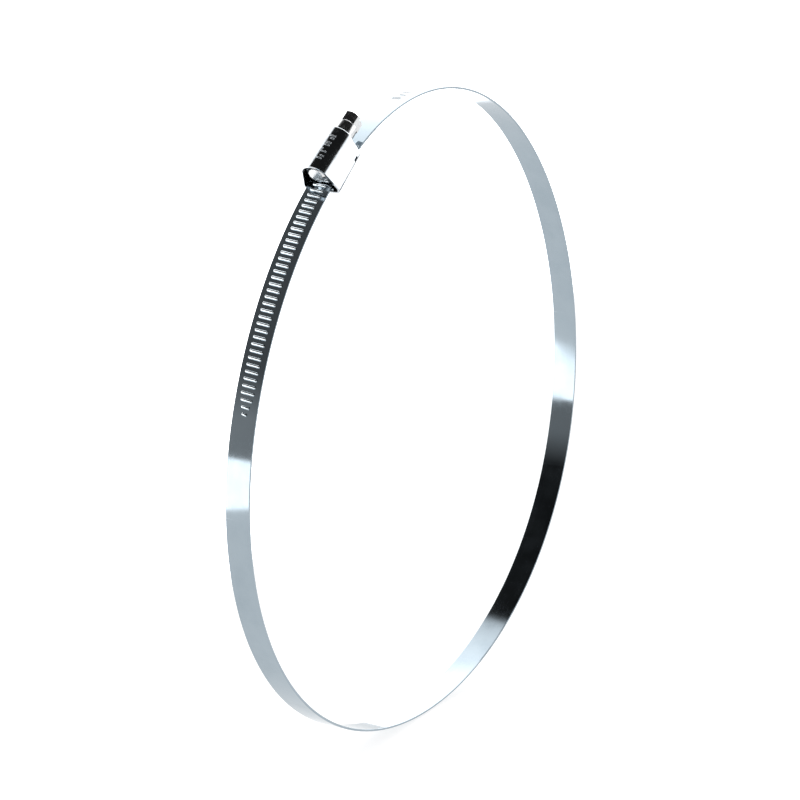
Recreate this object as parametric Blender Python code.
"""Worm-drive hose clamp: a threaded steel band, a pressed housing and a worm screw.

The ring stands upright in the XZ plane with its axis along Y. Places in that plane are complex
numbers, x + i z, and an angle is counted from +X towards +Z. The band is one strip of spring steel.
It bends all along its length when the clamp closes, so its plain part is cut into short arcs,
each of which turns about the one centre that takes it from the open ring to the closed ring.
"""

import bmesh
import bpy
import numpy as np
from mathutils import Vector

# Band
BAND_WIDTH = 0.009
BAND_THICK = 0.0008
RING_RADIUS = 0.112  # mean outer radius of the open ring
LOBES = 3
LOBE = 0.017  # share by which the free ring is out of round
LOBE_TURN = np.radians(98.3)
ARCS = 20  # that the plain part is bent to
HELD_ARCS = 3  # at its end by the housing, where closing the clamp doesn't move it
SEGMENTS = ARCS - HELD_ARCS
SEGMENT_STEPS = 6
CLEARANCE = 0.0003  # between neighbours that don't slide on each other

# Threaded run
RUN_RADIUS = 0.1296  # the run is stiff, so it is flatter than the ring
RUN_TURN = np.radians(41.5)  # from the middle of the housing to the run's rear end
TAIL_OUT = 0.0022  # length of the tip that stands out of the housing's head end
TIP_PLAIN = 0.0022  # plain length ahead of the first tooth
RUN_OUT = 0.0022  # plain length behind the last tooth
PITCH = 0.00225
TOOTH_LENGTH = 0.0052
TOOTH_BASE = 0.00098
TOOTH_TOP = 0.00058
TOOTH_HEIGHT = 0.00055

# Worm screw
WORM_RADIUS = 0.00405
THREAD_DEPTH = 0.00085
WORM_ROOT = WORM_RADIUS - THREAD_DEPTH
WORM_BASE = 0.00098
WORM_TOP = 0.00058
WORM_TURNS = 5.5
WORM_SIDES = 24
WORM_TIP = 0.0009  # plain tip ahead of the thread
NECK_RADIUS = 0.0029
COLLAR_RADIUS = 0.0038
COLLAR_LENGTH = 0.0046
COLLAR_GAP = 0.0004
HEX_FLATS = 0.007
HEX_LENGTH = 0.0040
EDGE_BREAK = 0.0004
WORM_OFF = 0.0002  # between the worm's crest and the strip
COLLAR_OFF = 0.00045  # between the collar and the strip
WORM_LIFT = BAND_THICK / 2 + max(WORM_RADIUS + WORM_OFF, COLLAR_RADIUS + COLLAR_OFF)
THREAD_INSET = 0.0004  # from the end wall to the thread
ROOT_PAST = 0.0002  # plain root past either end of the thread
SLOT_WIDTH = 0.0012
SLOT_DEPTH = 0.0018
CLOSING_TURNS = 36

# Housing
HOUSING_PLACE = np.radians(119.3)  # where the housing sits on the ring
HOUSING_NORMAL = np.radians(123.3)  # the way its hood faces
HOUSING_LENGTH = 0.0176
WALL = 0.0007
HOOD_GAP = 0.0003  # between the worm's crest and the hood
HOOD_STEPS = 9
MOUTH_SPACE = 0.0018  # beside the band, inside the mouth
HEAD_SPACE = 0.0007  # the same, inside the head end
MOUTH_WIDTH = BAND_WIDTH + 2 * (MOUTH_SPACE + WALL)
HEAD_WIDTH = BAND_WIDTH + 2 * (HEAD_SPACE + WALL)
MOUTH_RAKE = 0.14  # the hood's lip reaches further than the floor
LIP_GAP = 0.0003  # between the neck and the end wall that holds it
SILL = 0.0002  # height of the end wall's sill over the floor
HOOD_LOW = np.radians(20)  # how far the hood wraps down below the worm's axis
COLLAR_LOW = np.radians(40)  # how far the neck's hole does
FLANK_FOOT = 0.0010  # from the strip's middle down to where the skirts turn in
FLANK_LEAN = 0.0002  # the skirts splay that far above the turn
FLOOR_INSET = 0.0014  # width of the chamfer between a skirt and the floor
FLOOR_BEND = 0.0005  # the chamfer's own rounding
NOTCH_WIDTH = 0.00224
PLAIN_OUT = 0.0034  # length of the plain end past the head end of the housing
TONGUE_OUT = 0.0042  # length of its tongue past the mouth
TONGUE_WIDTH = 0.0064
TONGUE_STEPS = 7
PLAIN_STEPS = 8
NOTCH_LENGTH = 0.0022
NOTCH_PLACE = 0.0034  # from the head end to the middle of the notch
NOTCH_DEPTH = 0.0011


# Solving for the shape of the strip
NEWTON_ROUNDS = 12
NUDGE = 1e-7
END_WEIGHT = 1000  # the strip must meet its ends, and need only come near the free ring
WAVES = 4


def unit(angle):
    return np.exp(1j * angle)


def in_space(place, y=0.0):
    return Vector((place.real, y, place.imag))


def free_ring(angle):
    """The open ring's radius that way from the hose's axis, to the middle of the strip."""
    return RING_RADIUS - BAND_THICK / 2 + RING_RADIUS * LOBE * np.cos(LOBES * angle + LOBE_TURN)


# Where the strip runs, at the middle of its thickness
HOUSING_MIDDLE = free_ring(HOUSING_PLACE) * unit(HOUSING_PLACE)
RUN_CENTRE = HOUSING_MIDDLE - RUN_RADIUS * unit(HOUSING_NORMAL)
LAYER = BAND_THICK + CLEARANCE  # from one layer of the strip to the next
TOOTH_TURN = PITCH / (RUN_RADIUS + BAND_THICK / 2 + TOOTH_HEIGHT / 2)
FEED_TURN = CLOSING_TURNS * TOOTH_TURN
HEAD_WAY = -1j * unit(HOUSING_NORMAL)  # along the worm axis, towards the head
WORM_AXIS = HOUSING_MIDDLE + WORM_LIFT * unit(HOUSING_NORMAL)


def along_run(length):
    """The angle about the run's centre, that far from the middle of the housing towards the mouth."""
    return HOUSING_NORMAL + length / RUN_RADIUS


def follow(start, angle, lengths, bends):
    """The joints of a row of arcs: (place, angle of the outward normal) before and after each."""
    joints = [(start, angle)]
    for length, bend in zip(lengths, bends):
        centre = start - unit(angle) / bend
        angle = angle + length * bend
        start = centre + unit(angle) / bend
        joints.append((start, angle))
    return joints


def settle(row, guess, misses):
    """Gauss and Newton's method: the numbers with which row() misses by least."""
    guess = np.array(guess, float)
    for _ in range(NEWTON_ROUNDS):
        here = misses(row(guess))
        slopes = []
        for i in range(len(guess)):
            nudged = guess.copy()
            nudged[i] += NUDGE
            slopes.append((misses(row(nudged)) - here) / NUDGE)
        guess = guess - np.linalg.lstsq(np.array(slopes).T, here, rcond=None)[0]
    return guess


PLAIN_END_ANGLE = along_run(-HOUSING_LENGTH / 2 - PLAIN_OUT)
PLAIN_END_PLACE = RUN_CENTRE + (RUN_RADIUS - LAYER) * unit(PLAIN_END_ANGLE)
REAR_ANGLE = HOUSING_NORMAL + RUN_TURN
SPREAD = (np.arange(ARCS) + 0.5) / ARCS


def end_misses(joints, end, end_angle):
    """How far a row of arcs ends from that place and angle."""
    place, angle = joints[-1]
    off = place - end
    return np.array([off.real, off.imag, (angle - end_angle) * RING_RADIUS])


def open_misses(joints):
    """How far it ends from the plain end, and how far each joint lies from the free ring."""
    ends = end_misses(joints, PLAIN_END_PLACE, PLAIN_END_ANGLE + 2 * np.pi)
    sides = [abs(place) - free_ring(np.angle(place)) for place, _ in joints[1:-1]]
    return np.array([*(END_WEIGHT * ends), *sides])


def open_row(numbers):
    """The plain part of the open ring, which is a little out of round."""
    length, bend, *waves = numbers
    angles = REAR_ANGLE + SPREAD * (PLAIN_END_ANGLE + 2 * np.pi - REAR_ANGLE)
    bends = bend + 0 * angles
    for i, (east, north) in enumerate(zip(waves[::2], waves[1::2])):
        bends += east * np.cos((i + 1) * angles) + north * np.sin((i + 1) * angles)
    start = RUN_CENTRE + RUN_RADIUS * unit(REAR_ANGLE)
    lengths = [length * RING_RADIUS / ARCS] * ARCS
    return follow(start, REAR_ANGLE, lengths, bends / RING_RADIUS)


OPEN_NUMBERS = settle(open_row, [5, 1] + [0] * (2 * WAVES), open_misses)
OPEN_JOINTS = open_row(OPEN_NUMBERS)
ARC_LENGTH = OPEN_NUMBERS[0] * RING_RADIUS / ARCS


def closed_row(numbers):
    """Its moving arcs once the screw has drawn the run through: a rounder, smaller ring."""
    bend, east, north = numbers
    start_angle = REAR_ANGLE - FEED_TURN
    end_angle = OPEN_JOINTS[SEGMENTS][1]
    angles = start_angle + (np.arange(SEGMENTS) + 0.5) / SEGMENTS * (end_angle - start_angle)
    bends = (bend + east * np.cos(angles) + north * np.sin(angles)) / RING_RADIUS
    start = RUN_CENTRE + RUN_RADIUS * unit(start_angle)
    return follow(start, start_angle, [ARC_LENGTH] * SEGMENTS, bends)


def closed_misses(joints):
    return end_misses(joints, *OPEN_JOINTS[SEGMENTS])


CLOSED_JOINTS = closed_row(settle(closed_row, (1, 0, 0), closed_misses))


def swing(index):
    """(centre, angle) of the turn about +Y that takes a segment from the open to the closed ring."""
    (a, a_angle), (b, b_angle) = OPEN_JOINTS[index : index + 2]
    (c, c_angle), (d, d_angle) = CLOSED_JOINTS[index : index + 2]
    angle = (a_angle + b_angle - c_angle - d_angle) / 2
    turned = unit(-angle)
    centre = ((c + d) / 2 - turned * (a + b) / 2) / (1 - turned)
    return centre, angle


def zinc(name, shade, roughness):
    material = bpy.data.materials.new(name)
    material.use_nodes = True
    shader = material.node_tree.nodes["Principled BSDF"]
    shader.inputs["Base Color"].default_value = (*shade, 1)
    shader.inputs["Metallic"].default_value = 1
    shader.inputs["Roughness"].default_value = roughness
    return material


def place_piece(shape, name, origin, material):
    """Makes a bmesh an object whose origin is at that point of space."""
    bmesh.ops.recalc_face_normals(shape, faces=shape.faces)
    bmesh.ops.translate(shape, verts=shape.verts, vec=-origin)
    mesh = bpy.data.meshes.new(name)
    shape.to_mesh(mesh)
    shape.free()
    mesh.shade_smooth()
    mesh.set_sharp_from_angle(angle=np.radians(30))
    mesh.materials.append(material)
    piece = bpy.data.objects.new(name, mesh)
    piece.location = origin
    bpy.context.collection.objects.link(piece)
    return piece


def strip(stations, columns):
    """A strip with flat ends: stations are (place, outward way, shift along it per metre of Y)."""
    shape = bmesh.new()
    rings = []
    outline = [(y, BAND_THICK / 2) for y in columns]
    outline += [(columns[-1], -BAND_THICK / 2), (columns[0], -BAND_THICK / 2)]
    for place, out, slant in stations:
        points = [in_space(place(y * slant) + side * out(y * slant), y) for y, side in outline]
        rings.append([shape.verts.new(point) for point in points])
    for before, after in zip(rings, rings[1:]):
        for i, vert in enumerate(before):
            j = (i + 1) % len(before)
            shape.faces.new((vert, before[j], after[j], after[i]))
    shape.faces.new(rings[0])
    shape.faces.new(reversed(rings[-1]))
    return shape


def arc_station(centre, radius, angle, slant=0.0):
    """A station of a strip on an arc. With a slant it runs on along the arc as Y grows."""
    return (
        lambda shift: centre + radius * unit(angle - shift / radius),
        lambda shift: unit(angle - shift / radius),
        slant,
    )


def arc_of(index):
    """Centre, radius and both angles of an arc of the open ring's plain part."""
    (start, start_angle), (_, end_angle) = OPEN_JOINTS[index : index + 2]
    radius = ARC_LENGTH / (end_angle - start_angle)
    return start - radius * unit(start_angle), radius, start_angle, end_angle


def make_segment(index, material):
    """One moving arc of the plain part, with half the clearance left off at each end."""
    centre, radius, start_angle, end_angle = arc_of(index)
    trim = CLEARANCE / 2 / radius
    angles = np.linspace(start_angle + trim, end_angle - trim, SEGMENT_STEPS + 1)
    edges = (-BAND_WIDTH / 2, BAND_WIDTH / 2)
    shape = strip([arc_station(centre, radius, angle) for angle in angles], edges)
    return place_piece(
        shape, f"band_segment_{index + 1:02d}", in_space(swing(index)[0]), material
    )


def tooth_angles():
    """The middle of each tooth, counted from the groove of the worm that the housing's middle faces."""
    first = along_run(-HOUSING_LENGTH / 2 - TAIL_OUT + TIP_PLAIN)
    last = REAR_ANGLE - RUN_OUT / RUN_RADIUS
    low = np.ceil((first - HOUSING_NORMAL) / TOOTH_TURN)
    high = np.floor((last - HOUSING_NORMAL) / TOOTH_TURN)
    return HOUSING_NORMAL + TOOTH_TURN * np.arange(low, high + 1)


def make_run(material):
    """The stiff threaded run: a strip with a slanted tooth pressed up at every pitch."""
    lead = PITCH / (2 * np.pi * (WORM_LIFT - BAND_THICK / 2 - TOOTH_HEIGHT / 2))
    half = TOOTH_BASE / 2 / RUN_RADIUS
    trim = CLEARANCE / 2 / RUN_RADIUS
    stations = [arc_station(RUN_CENTRE, RUN_RADIUS, along_run(-HOUSING_LENGTH / 2 - TAIL_OUT))]
    for angle in tooth_angles():
        stations.append(arc_station(RUN_CENTRE, RUN_RADIUS, angle - half, lead))
        stations.append(arc_station(RUN_CENTRE, RUN_RADIUS, angle + half, lead))
    stations.append(arc_station(RUN_CENTRE, RUN_RADIUS, REAR_ANGLE - trim))
    edges = np.array([-BAND_WIDTH, -TOOTH_LENGTH, TOOTH_LENGTH, BAND_WIDTH]) / 2
    shape = strip(stations, edges)
    shape.faces.ensure_lookup_table()
    sides = len(edges) + 2
    feet = [shape.faces[(2 * i + 1) * sides + 1] for i in range(len(tooth_angles()))]
    for foot in feet:
        centre = foot.calc_center_median()
        out = in_space(RUN_CENTRE)
        out = Vector((centre.x - out.x, 0, centre.z - out.z)).normalized()
        along = Vector((-out.z, 0, out.x))
        top = bmesh.ops.extrude_discrete_faces(shape, faces=[foot])["faces"][0]
        for vert in top.verts:
            off = (vert.co - centre).dot(along) - lead * -vert.co.y
            vert.co += out * TOOTH_HEIGHT
            vert.co -= along * off * (1 - TOOTH_TOP / TOOTH_BASE)
            vert.co.y *= 1 - TOOTH_HEIGHT / TOOTH_LENGTH
    return place_piece(shape, "band_thread_run", in_space(RUN_CENTRE), material)


def make_plain_end(material):
    """The held end of the strip: its rounded tongue past the mouth, and its arcs that don't move."""
    radius = RUN_RADIUS - LAYER
    start = HOUSING_NORMAL + (HOUSING_LENGTH / 2 + TONGUE_OUT) / RUN_RADIUS
    shoulder = HOUSING_NORMAL + (HOUSING_LENGTH / 2 + CLEARANCE) / RUN_RADIUS
    round_off = TONGUE_WIDTH / 2
    outline = []  # (centre, radius, angle, half width)
    for turn in np.linspace(np.pi / 2, 0, TONGUE_STEPS)[1:]:
        angle = start - round_off * (1 - np.sin(turn)) / radius
        outline.append((RUN_CENTRE, radius, angle, round_off * np.cos(turn)))
    outline.append((RUN_CENTRE, radius, shoulder, round_off))
    shoulder -= (BAND_WIDTH - TONGUE_WIDTH) / 2 / radius
    for angle in np.linspace(shoulder, PLAIN_END_ANGLE, PLAIN_STEPS + 1):
        outline.append((RUN_CENTRE, radius, angle, BAND_WIDTH / 2))
    for index in reversed(range(SEGMENTS, ARCS)):
        centre, arc_radius, low, high = arc_of(index)
        if index == SEGMENTS:
            low += CLEARANCE / 2 / arc_radius
        for angle in np.linspace(high, low, SEGMENT_STEPS + 1)[1:]:
            outline.append((centre, arc_radius, angle, BAND_WIDTH / 2))
    shape = bmesh.new()
    half = BAND_THICK / 2
    tip = [
        shape.verts.new(in_space(RUN_CENTRE + (radius + side) * unit(start)))
        for side in (half, -half)
    ]
    rings = []
    for centre, arc_radius, angle, edge in outline:
        corners = ((half, -edge), (half, edge), (-half, edge), (-half, -edge))
        rings.append(
            [
                shape.verts.new(in_space(centre + (arc_radius + side) * unit(angle), y))
                for side, y in corners
            ]
        )
    first = rings[0]
    shape.faces.new((tip[0], first[1], first[0]))
    shape.faces.new((tip[1], first[3], first[2]))
    shape.faces.new((tip[0], tip[1], first[2], first[1]))
    shape.faces.new((tip[1], tip[0], first[0], first[3]))
    for before, after in zip(rings, rings[1:]):
        for i in range(len(before)):
            j = (i + 1) % len(before)
            shape.faces.new((before[i], before[j], after[j], after[i]))
    shape.faces.new(reversed(rings[-1]))
    return place_piece(shape, "band_plain_end", in_space(HOUSING_MIDDLE), material)


def hood_arc(radius, low):
    """Half of the hood, from its top down to that angle below level: (y, height over the strip)."""
    turns = np.linspace(np.pi / 2, -low, HOOD_STEPS)
    return [(radius * np.cos(turn), WORM_LIFT + radius * np.sin(turn)) for turn in turns]


FLOOR_TOP = (
    -BAND_THICK / 2
    - LAYER
    - CLEARANCE
    - SILL
    - (HOUSING_LENGTH / 2) ** 2 / 2 / (RUN_RADIUS - LAYER)
)
HOOD_INSIDE = WORM_RADIUS + HOOD_GAP
HOOD_OUTSIDE = HOOD_INSIDE + WALL


def outside(width):
    """Half of the housing's outer outline, from the top of the hood to the middle of its floor."""
    bottom = FLOOR_TOP - WALL
    foot = width / 2
    return hood_arc(HOOD_OUTSIDE, HOOD_LOW) + [
        (foot - FLANK_LEAN, -FLANK_FOOT / 3),
        (foot, -FLANK_FOOT),
        (foot - FLOOR_BEND, bottom + FLOOR_BEND),
        (foot - FLOOR_INSET, bottom),
        (0, bottom),
    ]


def inside(width):
    """Half of the inner outline, one wall inside the outer one."""
    foot = width / 2 - WALL
    return hood_arc(HOOD_INSIDE, HOOD_LOW) + [
        (foot - FLANK_LEAN, -FLANK_FOOT / 3),
        (foot, -FLANK_FOOT),
        (foot - FLOOR_BEND / 3, FLOOR_TOP + FLOOR_BEND / 2),
        (foot - FLOOR_BEND, FLOOR_TOP),
        (0, FLOOR_TOP),
    ]


def end_wall(width):
    """Half of the opening in the end wall: a round hole for the neck over the band's slot."""
    roof = BAND_THICK / 2 + TOOTH_HEIGHT + CLEARANCE
    edge = min(BAND_WIDTH / 2 + CLEARANCE, width / 2 - WALL)
    sill = FLOOR_TOP + SILL
    return hood_arc(NECK_RADIUS + LIP_GAP, COLLAR_LOW) + [
        (edge, roof),
        (edge, 0),
        (edge, sill + CLEARANCE),
        (edge - FLOOR_BEND, sill),
        (0, sill),
    ]


def make_housing(material):
    """One pressed piece: a hood over the worm, skirts down both sides and a floor under the band."""
    head = HOUSING_LENGTH / 2
    shape = bmesh.new()

    def loop(half, along, rake=0.0):
        points = half + [(-y, height) for y, height in half[-2:0:-1]]
        verts = []
        for y, height in points:
            reach = along - rake * max(height, 0)
            place = HOUSING_MIDDLE + reach * HEAD_WAY + height * unit(HOUSING_NORMAL)
            verts.append(shape.verts.new(in_space(place, y)))
        return verts

    def width(along):
        return MOUTH_WIDTH + (HEAD_WIDTH - MOUTH_WIDTH) * (along + head) / HOUSING_LENGTH

    loops = [
        loop(outside(MOUTH_WIDTH), -head, MOUTH_RAKE),
        loop(outside(width(0)), 0),
        loop(outside(HEAD_WIDTH), head),
        loop(end_wall(HEAD_WIDTH), head),
        loop(end_wall(width(head - WALL)), head - WALL),
        loop(inside(width(head - WALL)), head - WALL),
        loop(inside(width(0)), 0),
        loop(inside(MOUTH_WIDTH), -head, MOUTH_RAKE),
    ]
    for before, after in zip(loops, loops[1:] + loops[:1]):
        for i, vert in enumerate(before):
            j = (i + 1) % len(before)
            shape.faces.new((vert, before[j], after[j], after[i]))
    housing = place_piece(shape, "housing", in_space(HOUSING_MIDDLE), material)
    for side in (-1, 1):
        cut_notch(housing, side)
    return housing


def cut_notch(housing, side):
    """The opening low in each skirt through which the edges of the band can be seen."""
    along = HOUSING_LENGTH / 2 - NOTCH_PLACE
    middle = HOUSING_MIDDLE + along * HEAD_WAY - FLANK_FOOT * unit(HOUSING_NORMAL)
    bpy.ops.mesh.primitive_cube_add(
        size=1,
        location=in_space(middle, side * HEAD_WIDTH / 2),
        rotation=(0, np.pi / 2 - HOUSING_NORMAL, 0),
    )
    cutter = bpy.context.object
    cutter.name = f"notch_cutter_{'near' if side < 0 else 'far'}"
    cutter.scale = (NOTCH_LENGTH, NOTCH_WIDTH, NOTCH_DEPTH)
    cutter.hide_render = True
    cutter.display_type = "WIRE"
    cut = housing.modifiers.new(cutter.name, "BOOLEAN")
    cut.operation = "DIFFERENCE"
    cut.object = cutter


def worm_profile(height):
    """One pitch of the thread, from the middle of a groove: (way along the axis, radius)."""
    crest = WORM_ROOT + (WORM_RADIUS - WORM_ROOT) * height
    return [
        (0.0, WORM_ROOT),
        (PITCH / 2 - WORM_BASE / 2, WORM_ROOT),
        (PITCH / 2 - WORM_TOP / 2, crest),
        (PITCH / 2 + WORM_TOP / 2, crest),
        (PITCH / 2 + WORM_BASE / 2, WORM_ROOT),
    ]


def hexagon(angle):
    """How much further out the hexagon is at that angle than its flats are. A corner faces the band."""
    return 1 / np.cos(angle % (np.pi / 3) - np.pi / 6)


def make_screw(material):
    """Worm, neck, round collar and slotted hexagon head, turned from one bar."""
    head = HOUSING_LENGTH / 2
    out = unit(HOUSING_NORMAL)
    shape = bmesh.new()

    def point(along, radius, angle):
        # along counts towards the head, and the angle from the band towards -Y
        place = WORM_AXIS + along * HEAD_WAY - radius * np.cos(angle) * out
        return shape.verts.new(in_space(place, -radius * np.sin(angle)))

    angles = np.arange(WORM_SIDES) * 2 * np.pi / WORM_SIDES

    def ring(along, radius, shaped=False):
        size = [radius * (hexagon(a) if shaped else 1) for a in angles]
        return [point(along, size[i], a) for i, a in enumerate(angles)]

    def band_of(before, after):
        for i in range(WORM_SIDES):
            j = (i + 1) % WORM_SIDES
            shape.faces.new((before[i], before[j], after[j], after[i]))

    # The thread runs away from the head as the angle grows, which makes it right-handed.
    # A groove's middle is over the strip at every whole pitch from the housing's middle.
    steps = int(round(WORM_TURNS * WORM_SIDES))
    taper = WORM_SIDES // 2
    start = np.floor((head - WALL - THREAD_INSET) / PITCH) * PITCH
    rows = []
    for k in range(steps + 1):
        height = min(1, k / taper, (steps - k) / taper)
        angle = k * 2 * np.pi / WORM_SIDES
        base = start - PITCH * k / WORM_SIDES
        profile = worm_profile(height)
        rows.append([(base - way, radius, angle) for way, radius in profile])
    verts = [[point(*spot) for spot in row] for row in rows]
    # The end of one turn's profile is the start of the next turn's.
    for k in range(steps + 1):
        if k + WORM_SIDES <= steps:
            verts[k].append(verts[k + WORM_SIDES][0])
        else:
            base, radius, angle = rows[k][0]
            verts[k].append(point(base - PITCH, radius, angle))
    for before, after in zip(verts, verts[1:]):
        for i in range(len(before) - 1):
            shape.faces.new((before[i], before[i + 1], after[i + 1], after[i]))

    def cap(edge, seam, flat):
        """Joins the thread's end, one turn of its edge and then its profile, to a plain ring."""
        for i in range(WORM_SIDES - 1):
            shape.faces.new((edge[i], edge[i + 1], flat[i + 1], flat[i]))
        shape.faces.new([edge[-1], *seam, flat[0], flat[-1]])

    root_end = head - WALL - ROOT_PAST
    near = ring(root_end, WORM_ROOT)
    cap([row[0] for row in verts[:WORM_SIDES]], verts[0][::-1], near)
    last = [row[-1] for row in verts[steps - WORM_SIDES + 1 :]]
    tip_at = start - PITCH * (WORM_TURNS + 1) - ROOT_PAST
    tip_ring = ring(tip_at, WORM_ROOT)
    turned = [tip_ring[(steps + 1 + k) % WORM_SIDES] for k in range(WORM_SIDES)]
    cap(last, [*verts[steps][-2::-1], last[0]], turned)
    blunt = ring(tip_at - WORM_TIP, WORM_ROOT - 2 * EDGE_BREAK)
    band_of(tip_ring, blunt)
    shape.faces.new(blunt)
    collar_at = head + COLLAR_GAP
    hex_at = collar_at + COLLAR_LENGTH
    top_at = hex_at + HEX_LENGTH
    flats = HEX_FLATS / 2
    rings = [
        near,
        ring(root_end, NECK_RADIUS),
        ring(collar_at, NECK_RADIUS),
        ring(collar_at, COLLAR_RADIUS - EDGE_BREAK),
        ring(collar_at + EDGE_BREAK, COLLAR_RADIUS),
        ring(hex_at - EDGE_BREAK, COLLAR_RADIUS),
        ring(hex_at, COLLAR_RADIUS - EDGE_BREAK / 2),
        ring(hex_at, flats, True),
        ring(top_at - EDGE_BREAK, flats, True),
        ring(top_at, flats - EDGE_BREAK / 2),
    ]
    for before, after in zip(rings, rings[1:]):
        band_of(before, after)
    shape.faces.new(rings[-1])
    screw = place_piece(shape, "screw", in_space(WORM_AXIS), material)
    bpy.ops.mesh.primitive_cube_add(
        size=1,
        location=in_space(WORM_AXIS + top_at * HEAD_WAY),
        rotation=(0, np.pi / 2 - HOUSING_NORMAL, 0),
    )
    cutter = bpy.context.object
    cutter.name = "slot_cutter"
    cutter.scale = (2 * SLOT_DEPTH, 3 * HEX_FLATS, SLOT_WIDTH)
    cutter.hide_render = True
    cutter.display_type = "WIRE"
    cut = screw.modifiers.new("slot", "BOOLEAN")
    cut.operation = "DIFFERENCE"
    cut.object = cutter
    return screw


def main():
    for old in list(bpy.data.objects):
        bpy.data.objects.remove(old)
    strip_zinc = zinc("band_zinc", (0.62, 0.66, 0.69), 0.16)
    make_housing(zinc("housing_zinc", (0.66, 0.68, 0.70), 0.14))
    make_screw(zinc("screw_zinc", (0.58, 0.59, 0.60), 0.20))
    make_plain_end(strip_zinc)
    make_run(strip_zinc)
    for index in range(SEGMENTS):
        make_segment(index, strip_zinc)


main()
